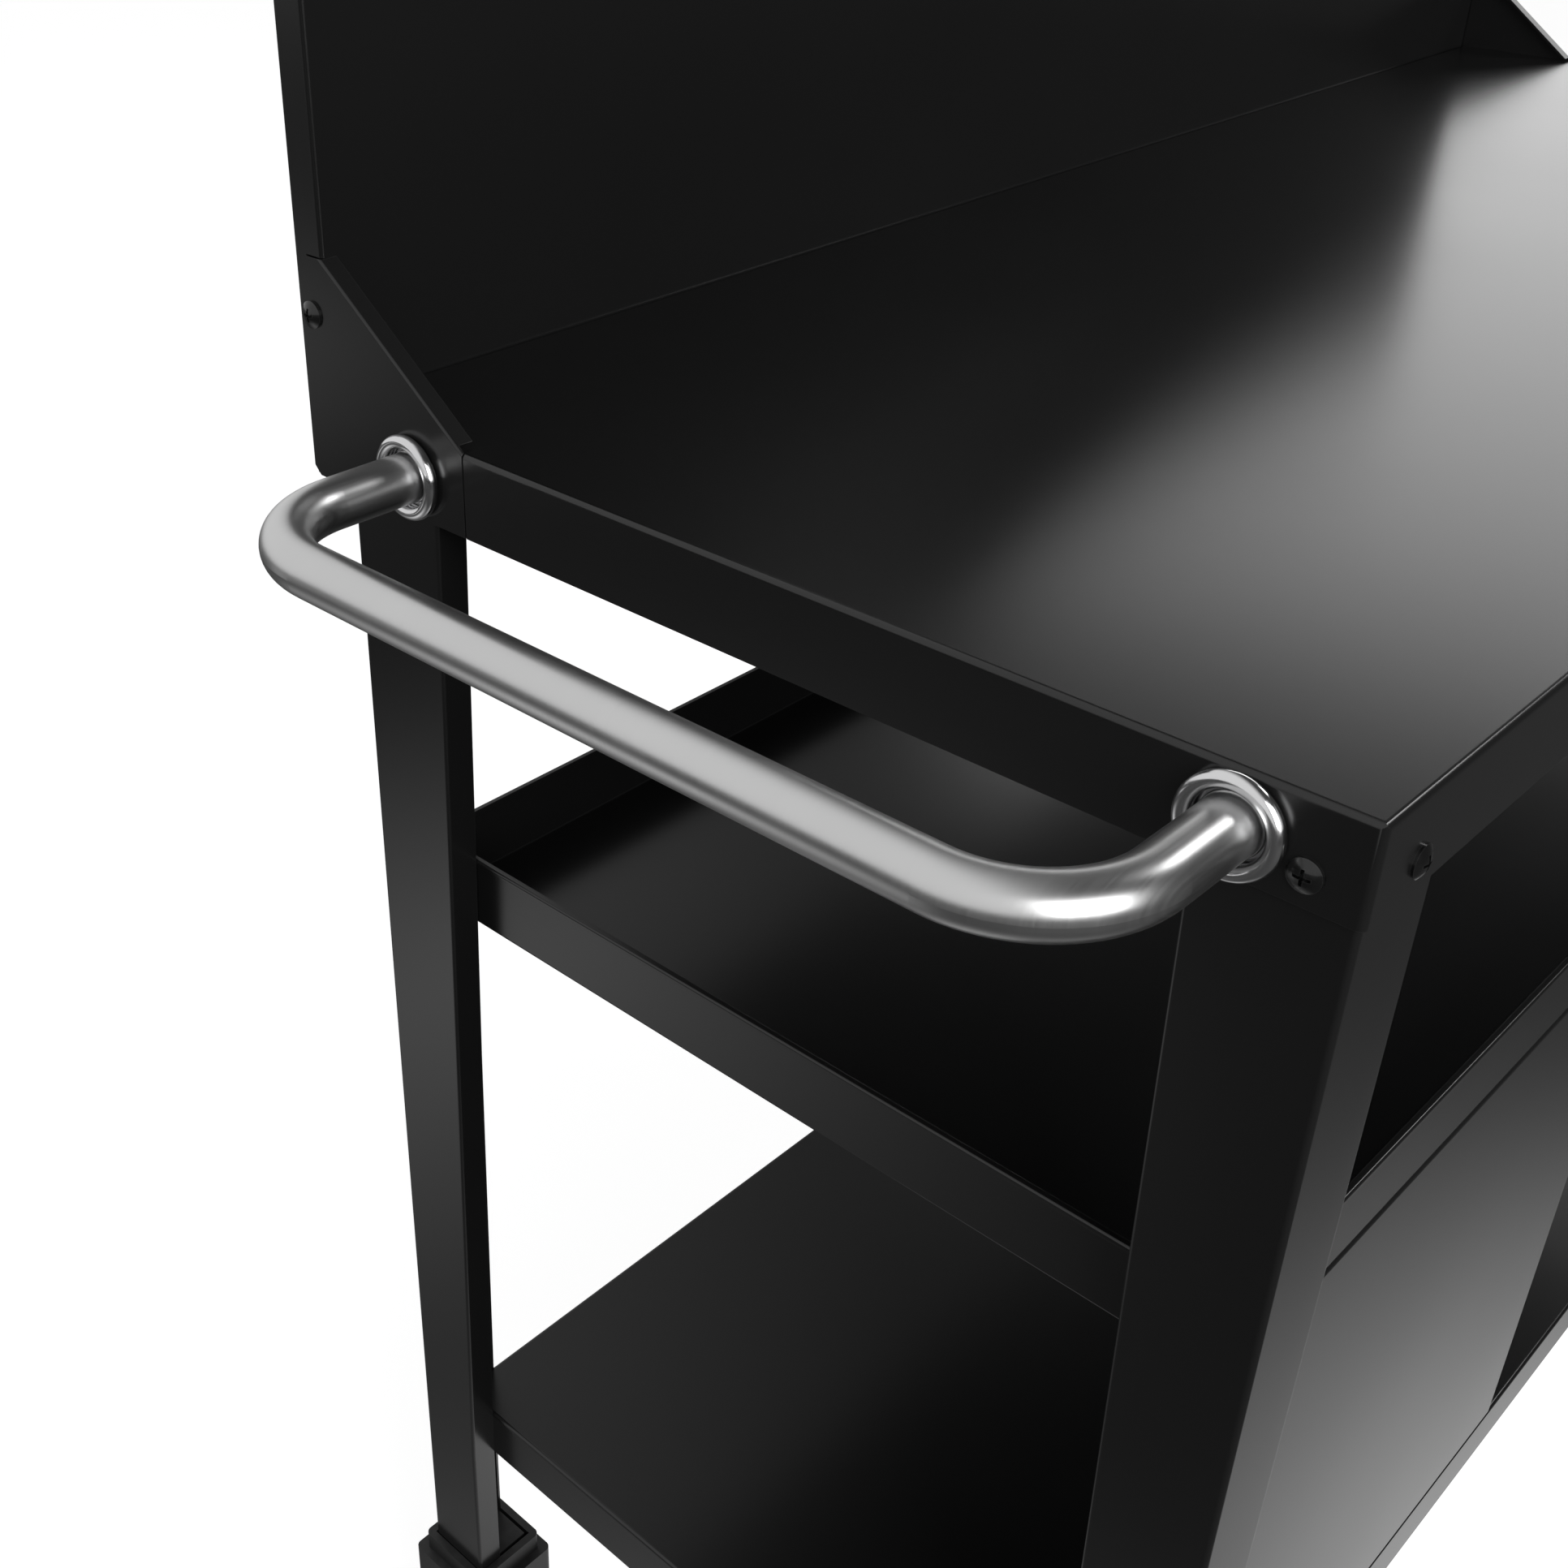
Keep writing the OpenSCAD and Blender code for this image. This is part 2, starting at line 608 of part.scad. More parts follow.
// A stepped block that takes the end of a leg in a socket and the caster's stem from below.
module foot(c) color(MOULDED) place() corner(c) difference() {
  translate([sheet, sheet, foot_bottom]) difference() {
    for (step = [0, 1]) translate([-foot_step * (2 - step), -foot_step * (2 - step), 0])
      linear_extrude(foot_low_h + step * foot_up_h) round_rect(
        leg_front_low + 2 * foot_step * (2 - step), leg_end_low + 2 * foot_step * (2 - step), foot_r);
    translate([-face_gap, -face_gap, foot_low_h + foot_up_h - foot_socket]) difference() {
      cube([leg_front_low + 2 * face_gap, leg_end_low + 2 * face_gap, foot_socket + eps]);
      translate([sheet + 2 * face_gap, sheet + 2 * face_gap, -eps])
        cube([leg_front_low - 2 * sheet - 2 * face_gap, leg_end_low - 2 * sheet - 2 * face_gap,
          foot_socket + 3 * eps]);
    }
  }
  translate([foot_x, foot_y, foot_bottom - eps]) cylinder(h = stem_l + 2 * eps, r = stem_d / 2 + run_gap);
}

// ---- casters ---------------------------------------------------------------------------

// The stem with its flange above the fork, and the kingpin that the fork turns on.
module stem(c) color(ZINC) place() caster(c) {
  translate([0, 0, king_low - king_head]) cylinder(h = stem_l - king_low + king_head, d = stem_d);
  translate([0, 0, -flange_h]) cylinder(h = flange_h, d = 3 * stem_d);
  translate([0, 0, king_low - king_head]) cylinder(h = king_head, d = king_head_d);
}

// Outline of one arm of the fork, seen from the side.
module arm_outline() {
  polygon([
    [arm_half, fork_top], [-arm_half, fork_top], [pivot[0] - pivot_side, pivot[1] + pivot_side],
    [pivot[0] - pivot_side, pivot[1] - pivot_side], [-trail - axle_d, axle_z],
    [-trail + axle_d, axle_z], [arm_half, fork_top - arm_front_h]
  ]);
  translate([-trail, axle_z]) circle(axle_d);
}

module fork(c) color(BLACK) place() caster(c) difference() {
  union() {
    translate([0, 0, fork_top - fork_plate]) linear_extrude(fork_plate) intersection() {
      translate([-king_head_d, -arm_out]) square([2 * king_head_d, 2 * arm_out]);
      circle(king_head_d);
    }
    for (y = [arm_in, -arm_out]) translate([0, y, 0]) along_front(fork_t) arm_outline();
  }
  translate([0, 0, fork_top - fork_plate - eps])
    cylinder(h = fork_plate + 2 * eps, r = stem_d / 2 + run_gap);
  translate([-trail, -arm_out - eps, axle_z]) along_y()
    cylinder(h = 2 * arm_out + 2 * eps, r = axle_d / 2 + run_gap);
  if (c[1] == 0) translate([pivot[0], -arm_out - eps, pivot[1]]) along_y()
    cylinder(h = 2 * arm_out + 2 * eps, r = pin_d / 2 + run_gap);
}

// The axle bolt with its head in front and its nut behind.
module axle(c) color(ZINC) place() caster(c) translate([-trail, 0, axle_z]) {
  translate([0, -arm_out, 0]) along_y() cylinder(h = 2 * arm_out, d = axle_d);
  for (y = [-arm_out - axle_d / 2, arm_out]) translate([0, y, 0]) along_y()
    cylinder(h = axle_d / 2, d = axle_d * hex_ratio, $fn = 6);
}

// The wheel's moulded centre: a rim, a thin web and a boss that runs on the axle.
module hub(c) color(MOULDED) place() caster(c) translate([-trail, 0, axle_z]) rotate([-90, 0, 0])
  rotate_extrude() {
    rim_r = wheel_r - tyre_t;
    hole_r = axle_d / 2 + run_gap;
    boss_w = 2 * (arm_in - face_gap);
    translate([hole_r, -boss_w / 2]) square([axle_d / 2, boss_w]);
    translate([hole_r, -hub_wall / 2]) square([rim_r - hole_r, hub_wall]);
    translate([rim_r - hub_wall, 1 - tyre_w / 2]) square([hub_wall, tyre_w - 2]);
  }

module tyre(c) color(RUBBER) place() caster(c) translate([-trail, 0, axle_z]) rotate([-90, 0, 0])
  rotate_extrude() {
    in_r = wheel_r - tyre_t + run_gap / 2;
    edge = tyre_t / 2;
    translate([in_r, -tyre_w / 2]) square([wheel_r - edge - in_r, tyre_w]);
    translate([in_r, edge - tyre_w / 2]) square([wheel_r - in_r, tyre_w - 2 * edge]);
    for (y = [-1, 1]) translate([wheel_r - edge, y * (tyre_w / 2 - edge)]) circle(edge);
  }

// A foot pedal on a cross pin in the fork, with a pad that the pedal swings onto the tyre.
module brake(c) color(MOULDED) place() caster(c) translate([pivot[0], 0, pivot[1]]) difference() {
  union() {
    translate([0, -lever_w / 2, 0]) along_y() cylinder(h = lever_w, d = 2.2 * pin_d);
    translate([0, -lever_w / 2, 0]) along_front(lever_w) polygon(lever_outline);
    translate([0, -pedal_w / 2, 0]) along_front(pedal_w) polygon(pedal_outline);
  }
  translate([0, -lever_w / 2 - eps, 0]) along_y() cylinder(h = lever_w + 2 * eps, r = pin_d / 2 + run_gap);
}

module brake_pin(c) color(ZINC) place() caster(c) translate([pivot[0], -arm_out, pivot[1]]) along_y() {
  cylinder(h = 2 * arm_out, d = pin_d);
  for (z = [-pin_head_h, 2 * arm_out]) translate([0, 0, z]) cylinder(h = pin_head_h, d = 1.8 * pin_d);
}

// ---- nodes -----------------------------------------------------------------------------

worktop();
stiffener(1 / 3);  // stiffener_left
stiffener(2 / 3);  // stiffener_right
rear_rail();
back_panel();
end_plate(0);  // end_plate_left
end_plate(1);  // end_plate_right
leg([0, 0]);  // leg_front_left
leg([1, 0]);  // leg_front_right
leg([0, 1]);  // leg_rear_left
leg([1, 1]);  // leg_rear_right
upper_tray();
lower_shelf();
shelf_stiffener();
front_panel();
handle_tube();
escutcheon(0);  // escutcheon_front
escutcheon(1);  // escutcheon_rear
handle_inserts();
handle_bolts();
handle_washers();
skirt_screws();
rear_screws();
gusset_screws();
frame_nuts();
brackets(tray_floor);  // tray_brackets
brackets(-shelf_drop - shelf_h);  // shelf_brackets
bracket_screws(tray_floor);  // tray_screws
bracket_screws(-shelf_drop - shelf_h);  // shelf_screws
panel_screws();
foot([0, 0]);  // foot_front_left
foot([1, 0]);  // foot_front_right
foot([0, 1]);  // foot_rear_left
foot([1, 1]);  // foot_rear_right
stem([0, 0]);  // stem_front_left
stem([1, 0]);  // stem_front_right
stem([0, 1]);  // stem_rear_left
stem([1, 1]);  // stem_rear_right
fork([0, 0]);  // fork_front_left
fork([1, 0]);  // fork_front_right
fork([0, 1]);  // fork_rear_left
fork([1, 1]);  // fork_rear_right
axle([0, 0]);  // axle_front_left
axle([1, 0]);  // axle_front_right
axle([0, 1]);  // axle_rear_left
axle([1, 1]);  // axle_rear_right
hub([0, 0]);  // hub_front_left
hub([1, 0]);  // hub_front_right
hub([0, 1]);  // hub_rear_left
hub([1, 1]);  // hub_rear_right
tyre([0, 0]);  // tyre_front_left
tyre([1, 0]);  // tyre_front_right
tyre([0, 1]);  // tyre_rear_left
tyre([1, 1]);  // tyre_rear_right
brake([0, 0]);  // brake_front_left
brake([1, 0]);  // brake_front_right
brake_pin([0, 0]);  // brake_pin_front_left
brake_pin([1, 0]);  // brake_pin_front_right
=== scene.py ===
# %% [markdown]
# # A kitchen island cart
#
# A folded sheet-steel worktop stands on four tapered posts, with a tray, a shelf and a front
# panel between them, and a satin steel tube handle on its left end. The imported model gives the
# real shapes, sizes and joints. This lesson gives it finishes, re-makes the pieces that catch
# the light, and sets up the camera, the floor and the lamps. All lengths are in metres.

import json
import math

import bmesh
import bpy
from mathutils import Matrix, Vector


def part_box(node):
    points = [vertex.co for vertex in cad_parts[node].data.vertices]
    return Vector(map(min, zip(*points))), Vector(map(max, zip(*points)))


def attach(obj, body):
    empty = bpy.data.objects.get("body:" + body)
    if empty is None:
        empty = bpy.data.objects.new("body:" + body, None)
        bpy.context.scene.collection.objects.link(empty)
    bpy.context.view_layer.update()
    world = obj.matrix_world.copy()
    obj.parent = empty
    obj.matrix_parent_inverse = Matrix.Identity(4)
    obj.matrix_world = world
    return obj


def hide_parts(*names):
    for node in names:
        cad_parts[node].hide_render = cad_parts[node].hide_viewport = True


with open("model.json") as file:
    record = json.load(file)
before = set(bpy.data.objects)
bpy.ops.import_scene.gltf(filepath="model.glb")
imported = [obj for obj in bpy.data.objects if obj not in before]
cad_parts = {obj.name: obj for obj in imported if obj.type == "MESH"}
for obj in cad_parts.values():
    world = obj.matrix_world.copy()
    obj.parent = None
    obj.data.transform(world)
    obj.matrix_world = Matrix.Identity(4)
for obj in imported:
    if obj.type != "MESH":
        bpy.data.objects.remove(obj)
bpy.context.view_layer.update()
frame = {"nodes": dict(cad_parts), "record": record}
nodes = frame["nodes"]
top_low, top_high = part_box("worktop")

# %% [markdown]
# ## The camera
#
# It stands off the cart's front-left corner at standing eye height and looks down along the
# worktop. Its place is measured from that corner, so that it follows the cart's size. A small
# sideways shift slides the frame without turning the camera, which keeps the verticals as
# they are.

# %% Place the camera
CORNER = Vector((top_low.x, top_low.y, top_high.z))
EYE = CORNER + Vector((-0.4741, -0.1688, 0.2938))
FACING = Matrix((
    (0.70751, 0.36791, -0.60338),
    (-0.70669, 0.36482, -0.60621),
    (-0.0029, 0.8553, 0.5181),
))
lens = bpy.data.cameras.new("eye")
lens.sensor_width = 36
lens.lens = 44.07
lens.shift_x = 0.1052
lens.shift_y = -0.0070
lens.clip_start = 0.02
camera = bpy.data.objects.new("eye", lens)
bpy.context.scene.collection.objects.link(camera)
camera.matrix_world = Matrix.Translation(EYE) @ FACING.to_4x4()
bpy.context.scene.camera = camera
print("camera at", [round(c, 3) for c in camera.location])

# %% [markdown]
# ## Node helpers
#
# A material is a network of nodes, and writing one out link by link hides its idea. Two short
# helpers keep each finish readable: one adds a node and fills in its sockets, where a socket
# takes a number or another node's output, and one opens an empty material that ends in a
# Principled shader.

# %% Helpers for materials and groups
def put(tree, kind, settings=None, **sockets):
    """Adds a node and sets or links its inputs, by name or, as _0 or _1, by number."""
    made = tree.nodes.new(kind)
    for name, value in (settings or {}).items():
        setattr(made, name, value)
    for name, value in sockets.items():
        key = int(name[1:]) if name[0] == "_" else name.replace("_", " ")
        socket = made.inputs[key]
        if isinstance(value, bpy.types.NodeSocket):
            tree.links.new(value, socket)
        else:
            socket.default_value = value
    return made


def maths(tree, operation, first, second=0.0, clamp=False):
    """One arithmetic step on two numbers or outputs."""
    settings = {"operation": operation, "use_clamp": clamp}
    return put(tree, "ShaderNodeMath", settings, _0=first, _1=second).outputs[0]


def blend_tones(tree, mask, low, high):
    """A colour that goes from low to high as the mask goes from 0 to 1."""
    mix = put(tree, "ShaderNodeMix", {"data_type": "RGBA"}, _0=mask, _6=low, _7=high)
    return mix.outputs[2]


def between(tree, mask, low, high):
    """A number that goes from low to high as the mask goes from 0 to 1."""
    return put(tree, "ShaderNodeMapRange", None, Value=mask, To_Min=low, To_Max=high).outputs[0]


def object_noise(tree, scale, detail):
    """A noise fixed to the object, so that it rides with a piece that moves."""
    place = put(tree, "ShaderNodeTexCoord").outputs["Object"]
    return put(tree, "ShaderNodeTexNoise", None, Vector=place, Scale=scale, Detail=detail).outputs[0]


def grey(level, tint=0.0):
    """A grey that leans to blue by the tint."""
    return (level, level, level * (1 + tint), 1)


def new_group(name, inputs, outputs):
    """An empty node group: inputs are (name, value) pairs, and outputs are names of numbers."""
    group = bpy.data.node_groups.new(name, "ShaderNodeTree")
    for title, value in inputs:
        socket = group.interface.new_socket(name=title, in_out="INPUT", socket_type="NodeSocketFloat")
        socket.default_value = value
    for title in outputs:
        group.interface.new_socket(name=title, in_out="OUTPUT", socket_type="NodeSocketFloat")
    given = group.nodes.new("NodeGroupInput").outputs
    put_out = group.nodes.new("NodeGroupOutput").inputs
    return group, given, put_out


def place_group(tree, group, **sockets):
    """Puts a group into a material with its own values, and returns its outputs."""
    return put(tree, "ShaderNodeGroup", {"node_tree": group}, **sockets).outputs


def new_finish(name, **shader_values):
    """A material with a Principled shader whose even values are set straight on its sockets."""
    finish = bpy.data.materials.new(name)
    finish.use_nodes = True
    tree = finish.node_tree
    tree.nodes.clear()
    shader = put(tree, "ShaderNodeBsdfPrincipled", None, **shader_values)
    output = tree.nodes.new("ShaderNodeOutputMaterial")
    tree.links.new(shader.outputs[0], output.inputs["Surface"])
    return finish, tree, shader


def add_relief(tree, shader, height, strength, depth):
    """Turns a height into a bumped normal for the shader. depth is in metres."""
    bump = put(tree, "ShaderNodeBump", None, Strength=strength, Distance=depth, Height=height)
    tree.links.new(bump.outputs[0], shader.inputs["Normal"])


def ray_masks(tree):
    """Two masks: rays straight from the camera, and rays that a finish mirrors."""
    light = put(tree, "ShaderNodeLightPath").outputs
    mirrored = maths(tree, "ADD", light["Is Glossy Ray"], light["Is Transmission Ray"], clamp=True)
    return light["Is Camera Ray"], mirrored


# %% [markdown]
# ## Effects that several finishes share
#
# Powder coat, moulded plastic and plating differ in colour and gloss, but the same few things
# happen to all of them: the surface has a fine grain, hands leave faint duller patches, the
# edges turn lighter, partly where the coat thins and partly as a painted highlight, and dust
# settles on what faces up. Each is one node group, and each material uses it with its own values.

# %% Group: fine grain
def make_grain():
    """A fine pebbled relief, and a slow tone that drifts over the surface."""
    group, given, put_out = new_group(
        "fine_grain", [("Cells", 900), ("Drift", 6)], ["Relief", "Tone"])
    group.links.new(object_noise(group, given["Cells"], 2), put_out["Relief"])
    group.links.new(object_noise(group, given["Drift"], 3), put_out["Tone"])
    return group


GRAIN = make_grain()
print("group:", GRAIN.name)

# %% Group: worn and lit edges (wear and painted highlight)
def make_worn_and_lit_edges():
    """A mask of the edges, for wear and for a painted highlight: a rounded normal leans away
    from the flat one only near an edge.
    """
    group, given, put_out = new_group(
        "worn_and_lit_edges", [("Width", 0.0008), ("Strength", 1), ("Breaks", 60)], ["Edge"])
    rounded = put(group, "ShaderNodeBevel", {"samples": 4}, Radius=given["Width"])
    flat = put(group, "ShaderNodeNewGeometry")
    lean = put(group, "ShaderNodeVectorMath", {"operation": "DOT_PRODUCT"},
               _0=rounded.outputs[0], _1=flat.outputs["Normal"])
    away = maths(group, "SUBTRACT", 1, lean.outputs["Value"], clamp=True)
    sharp = maths(group, "MULTIPLY", away, 5, clamp=True)
    broken = between(group, object_noise(group, given["Breaks"], 3), 0.4, 1)
    uneven = maths(group, "MULTIPLY", sharp, broken)
    edge = maths(group, "MULTIPLY", uneven, given["Strength"], clamp=True)
    group.links.new(edge, put_out["Edge"])
    return group


WORN_AND_LIT_EDGES = make_worn_and_lit_edges()
print("group:", WORN_AND_LIT_EDGES.name)

# %% Group: dust
def make_dust():
    """A mask of thin dust on faces that look up."""
    group, given, put_out = new_group("dust", [("Amount", 0.1), ("Specks", 140)], ["Dust"])
    facing = put(group, "ShaderNodeNewGeometry").outputs["Normal"]
    up = put(group, "ShaderNodeSeparateXYZ", None, Vector=facing).outputs["Z"]
    level = maths(group, "POWER", maths(group, "MAXIMUM", up, 0), 4)
    specks = object_noise(group, given["Specks"], 4)
    patchy = put(group, "ShaderNodeMapRange", None, Value=specks, From_Min=0.45, From_Max=0.75)
    lying = maths(group, "MULTIPLY", level, patchy.outputs[0])
    dust = maths(group, "MULTIPLY", lying, given["Amount"])
    group.links.new(dust, put_out["Dust"])
    return group


DUST = make_dust()
print("group:", DUST.name)

# %% [markdown]
# ## Satin black powder coat
#
# The cart's sheets are sprayed with dry powder and baked. The coat is nearly black, and its
# satin gloss comes from a very fine texture: too fine to see as bumps, but enough to blur a
# reflection. A wide roughness gives the blur, a shallow grain breaks it up, and the edges are
# painted a little lighter, partly where the coat is thin and partly as a painted highlight.

# %% Material: powder coat
def make_coat(name, tone, dull, cells, depth):
    """A baked coat. tone is its grey, dull its middle roughness and depth its grain's height."""
    finish, tree, shader = new_finish(name, Metallic=0.0)
    grain = place_group(tree, GRAIN, Cells=cells, Drift=5)
    edge = place_group(tree, WORN_AND_LIT_EDGES, Width=0.0007, Strength=0.55)["Edge"]
    dust = place_group(tree, DUST, Amount=0.004)["Dust"]
    base = blend_tones(tree, grain["Tone"], grey(tone * 0.9), grey(tone * 1.1))
    # Edges painted lighter: part thin coat, part painted highlight along the folds.
    edge_wear_and_sheen = blend_tones(tree, edge, base, grey(tone * 4))
    dusty = blend_tones(tree, dust, edge_wear_and_sheen, grey(0.25))
    tree.links.new(dusty, shader.inputs["Base Color"])
    rough = between(tree, grain["Tone"], dull - 0.02, dull + 0.02)
    tree.links.new(rough, shader.inputs["Roughness"])
    add_relief(tree, shader, grain["Relief"], 0.35, depth)
    return finish


powder_coat = make_coat("satin_powder_coat", 0.0095, 0.23, 1400, 0.00002)
fork_coat = make_coat("pressed_fork_coat", 0.014, 0.30, 700, 0.00003)
print("materials:", powder_coat.name, fork_coat.name)

# %% [markdown]
# ## Black screws
#
# The screws are black-oxide steel with a glossy sealed surface, so that their domed heads show
# small bright points. A low roughness with a clear coat over a dark metal gives that.

# %% Material: black oxide
def make_black_oxide():
    finish, tree, shader = new_finish("black_oxide", Metallic=0.0, Specular_IOR_Level=0.3,
                                      Coat_Weight=0.5, Coat_Roughness=0.07)
    grain = place_group(tree, GRAIN, Cells=2500, Drift=300)
    edge = place_group(tree, WORN_AND_LIT_EDGES, Width=0.0003, Strength=0.8, Breaks=400)["Edge"]
    base = blend_tones(tree, grain["Tone"], grey(0.004), grey(0.008))
    # The edge mask paints the heads' rims lighter: part wear, part painted highlight.
    tree.links.new(blend_tones(tree, edge, base, grey(0.06)), shader.inputs["Base Color"])
    tree.links.new(between(tree, grain["Tone"], 0.2, 0.32), shader.inputs["Roughness"])
    add_relief(tree, shader, grain["Relief"], 0.3, 0.00003)
    return finish


black_oxide = make_black_oxide()
print("material:", black_oxide.name)

# %% [markdown]
# ## Polished chrome, satin steel and zinc plate
#
# All three are bright metals, and what tells them apart is how they blur. Chrome is a mirror
# with faint smears. The handle's steel is rubbed along the tube, so its blur is wider and runs
# with fine lines around it. Zinc plate on nuts and washers is duller and a little blue.

# %% Group: rubbing lines
def make_rubbing():
    """Fine parallel lines, very close together along Y and long across it."""
    group, given, put_out = new_group("rubbing_lines", [("Fine", 1600), ("Long", 25)], ["Lines"])
    place = put(group, "ShaderNodeTexCoord").outputs["Object"]
    stretch = put(group, "ShaderNodeCombineXYZ", None,
                  X=given["Long"], Y=given["Fine"], Z=given["Long"])
    squeezed = put(group, "ShaderNodeVectorMath", {"operation": "MULTIPLY"},
                   _0=place, _1=stretch.outputs[0])
    lines = put(group, "ShaderNodeTexNoise", None, Vector=squeezed.outputs[0], Scale=1, Detail=4)
    group.links.new(lines.outputs[0], put_out["Lines"])
    return group


RUBBING = make_rubbing()
print("group:", RUBBING.name)

# %% Materials: bright metals
def make_metal(name, tone, tint, gloss, line_depth, cells=500):
    """A bare or plated metal. gloss is the lowest and highest roughness over the surface."""
    finish, tree, shader = new_finish(name, Metallic=1.0)
    grain = place_group(tree, GRAIN, Cells=cells, Drift=18)
    lines = place_group(tree, RUBBING)["Lines"]
    base = blend_tones(tree, grain["Tone"], grey(tone * 0.9, tint), grey(tone, tint))
    tree.links.new(base, shader.inputs["Base Color"])
    smear = maths(tree, "MULTIPLY", grain["Tone"], lines)
    rough = put(tree, "ShaderNodeMapRange", None, Value=smear, From_Min=0.15, From_Max=0.4,
                To_Min=gloss[0], To_Max=gloss[1])
    tree.links.new(rough.outputs[0], shader.inputs["Roughness"])
    add_relief(tree, shader, lines, 0.3, line_depth)
    return finish


chrome = make_metal("polished_chrome", 0.74, 0.01, (0.12, 0.2), 0.000001)
satin_steel = make_metal("satin_steel", 0.65, 0.0, (0.3, 0.37), 0.000001)
zinc_plate = make_metal("zinc_plate", 0.6, 0.05, (0.28, 0.42), 0.00002, cells=1500)
print("materials:", chrome.name, satin_steel.name, zinc_plate.name)

# %% [markdown]
# ## Moulded plastic and rubber
#
# The foot blocks, wheel centres and pedals are moulded. A mould's spark-eroded skin leaves a
# pebbled matt surface. The tyres are a softer rubber, rougher and a little paler all over.

# %% Materials: plastic and rubber
def make_moulded(name, tone, dull, cells, depth, dust_amount):
    """A pebbled moulded surface, with the same tone, dull and depth as a coat."""
    finish, tree, shader = new_finish(name, Metallic=0.0)
    grain = place_group(tree, GRAIN, Cells=cells, Drift=30)
    edge = place_group(tree, WORN_AND_LIT_EDGES, Width=0.0006, Strength=0.35, Breaks=120)["Edge"]
    dust = place_group(tree, DUST, Amount=dust_amount)["Dust"]
    base = blend_tones(tree, grain["Tone"], grey(tone * 0.8), grey(tone * 1.2))
    # The edge mask paints the rims lighter: part wear, part painted highlight.
    edge_wear_and_sheen = blend_tones(tree, edge, base, grey(tone * 2.5))
    tree.links.new(blend_tones(tree, dust, edge_wear_and_sheen, grey(0.3)), shader.inputs["Base Color"])
    rough = between(tree, grain["Relief"], dull - 0.06, dull + 0.06)
    tree.links.new(rough, shader.inputs["Roughness"])
    add_relief(tree, shader, grain["Relief"], 0.5, depth)
    return finish


moulded_nylon = make_moulded("moulded_nylon", 0.012, 0.5, 1100, 0.00008, 0.05)
wheel_plastic = make_moulded("wheel_plastic", 0.028, 0.42, 900, 0.00005, 0.04)
tyre_rubber = make_moulded("tyre_rubber", 0.024, 0.68, 1500, 0.00012, 0.08)
print("materials:", moulded_nylon.name, wheel_plastic.name, tyre_rubber.name)

# %% Give every node the finish of its slot
FINISHES = {
    "black_coat": powder_coat,
    "fork_coat": fork_coat,
    "black_screw": black_oxide,
    "chrome": chrome,
    "satin_steel": satin_steel,
    "zinc": zinc_plate,
    "moulded": moulded_nylon,
    "hub": wheel_plastic,
    "tyre": tyre_rubber,
}
slot_of = {row["node"]: row["material_slot"] for row in frame["record"]["subparts"]}
for name, node in nodes.items():
    node.data.materials[0] = FINISHES[slot_of[name]]
print("finished nodes:", len(slot_of))

# %% [markdown]
# ## Folded sheets with soft edges
#
# A press brake never leaves a knife edge: sheared edges are dressed and coated, and a fold has
# a radius. The model's sheets have their main folds, but their cut edges are sharp, so they
# catch no light. A copy of each sheet is welded and its flat triangles are joined into plain
# faces. Then a wide bevel rounds the chosen folds and a fine one breaks every other corner.
# Doing this on copies of the exact sheets keeps all holes and sizes where they are. The last
# step, a Weighted Normal modifier, keeps the wide flat faces from picking up false shading.

# %% Soften a sheet
DRESSED = 0.0003
FOLD = 0.0018
SHARP = math.radians(35)
FLAT = math.radians(0.5)
WELD = 1e-6
TOUCH = 1e-4


def place_piece(mesh, node):
    """Puts a finished mesh into the scene in the place of one of the model's nodes."""
    piece = bpy.data.objects.new(mesh.name, mesh)
    bpy.context.scene.collection.objects.link(piece)
    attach(piece, "cart")
    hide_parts(node)
    return piece


def save_mesh(work, mesh, sharp_angle):
    """Writes a bmesh to a mesh and shades it smooth, with creases over the given angle."""
    work.to_mesh(mesh)
    work.free()
    mesh.shade_smooth()
    mesh.set_sharp_from_angle(angle=sharp_angle)


def is_sharp(edge):
    return len(edge.link_faces) == 2 and edge.calc_face_angle(0) > SHARP


def round_edges(work, edges, width, segments):
    bmesh.ops.bevel(work, geom=edges, offset=width, offset_type="OFFSET", affect="EDGES",
                    segments=segments, profile=0.5, material=-1, clamp_overlap=True)


def soften_sheet(node, piece_name, is_fold=None, fold_width=FOLD):
    """A copy of a CAD sheet with its chosen folds rounded and its other corners broken."""
    mesh = nodes[node].data.copy()
    mesh.name = piece_name
    work = bmesh.new()
    work.from_mesh(mesh)
    bmesh.ops.remove_doubles(work, verts=work.verts, dist=WELD)
    bmesh.ops.dissolve_limit(work, angle_limit=FLAT, verts=work.verts, edges=work.edges)
    folds = [e for e in work.edges if is_fold and is_sharp(e) and is_fold(e)]
    if folds:
        round_edges(work, folds, fold_width, 5)
    corners = [e for e in work.edges if is_sharp(e)]
    round_edges(work, corners, DRESSED, 2)
    save_mesh(work, mesh, SHARP)
    sheet = place_piece(mesh, node)
    sheet.modifiers.new("flat_faces", "WEIGHTED_NORMAL").keep_sharp = True
    print(sheet.name, "folds:", len(folds), "corners:", len(corners), "faces:", len(mesh.polygons))


# %% Legs
LONG_FOLD = 0.1


def on_outer_face(node):
    """Makes a test that tells whether a long edge lies on one of a leg's two outer faces."""
    low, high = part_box(node)
    x_face = low.x if low.x < 0 else high.x
    y_face = low.y if low.y < 0 else high.y

    def test(edge):
        middle = (edge.verts[0].co + edge.verts[1].co) / 2
        on_face = abs(middle.x - x_face) < TOUCH or abs(middle.y - y_face) < TOUCH
        return on_face and edge.calc_length() > LONG_FOLD
    return test


for leg in [name for name in nodes if name.startswith("leg_")]:
    soften_sheet(leg, leg.replace("leg", "post"), on_outer_face(leg))

# %% Worktop, backsplash and end plates
SLOPE_RUN = 0.03
SLOPE_FOLD = 0.0014


